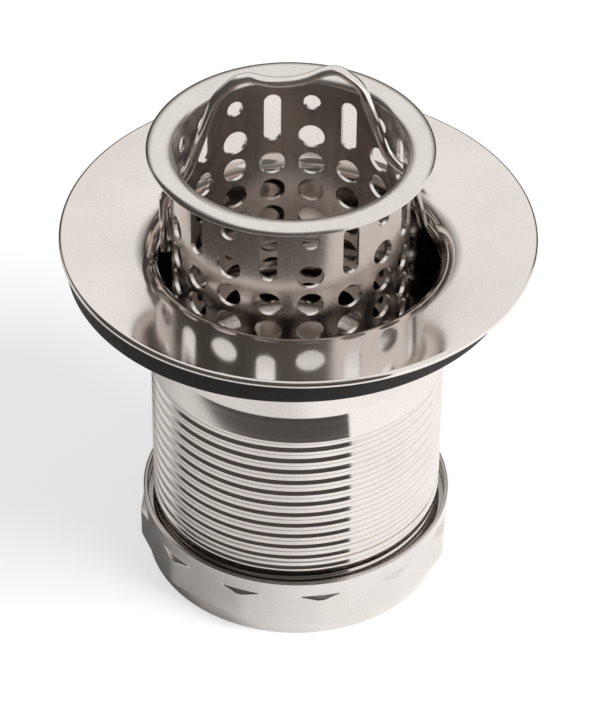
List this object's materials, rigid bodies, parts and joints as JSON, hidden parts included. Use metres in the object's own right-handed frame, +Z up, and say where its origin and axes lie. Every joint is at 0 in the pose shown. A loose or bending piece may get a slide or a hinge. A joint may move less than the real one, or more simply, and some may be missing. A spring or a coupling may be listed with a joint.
{
  "type": "basket strainer waste",
  "caption": "Flanged sink waste with a threaded barrel, coupling nut and sink gasket, and a deep perforated lift-out basket with wire handle and rubber stopper.",
  "frame": {"origin": "centre of the coupling nut's lower face, on which the waste stands", "axes": "+Z up along the barrel's axis, from the outlet to the basket; -Y towards the camera of the picture"},
  "size_m": [0.076, 0.076, 0.0943],
  "materials": {
    "polished_stainless": "polished",
    "black_rubber": "matte",
    "chrome_plate": "satin",
    "white_polythene": "matte",
    "drawn_stainless": "satin",
    "spring_wire": "polished",
    "stopper_rubber": "matte",
    "rivet_steel": "satin"
  },
  "bodies": {
    "strainer": {"strainer_body": "polished_stainless", "sink_gasket": "black_rubber", "coupling_nut": "chrome_plate", "tailpiece_washer": "white_polythene"},
    "basket": {"basket_cup": "drawn_stainless", "spring_handle": "spring_wire", "stopper": "stopper_rubber", "stopper_rivet": "rivet_steel", "backing_washer": "rivet_steel"}
  },
  "joints": [
    {"name": "basket_lift", "type": "slide", "parent": "strainer", "child": "basket", "axis": [0, 0, 1], "range_m": [-0.0165, 0.07]}
  ]
}
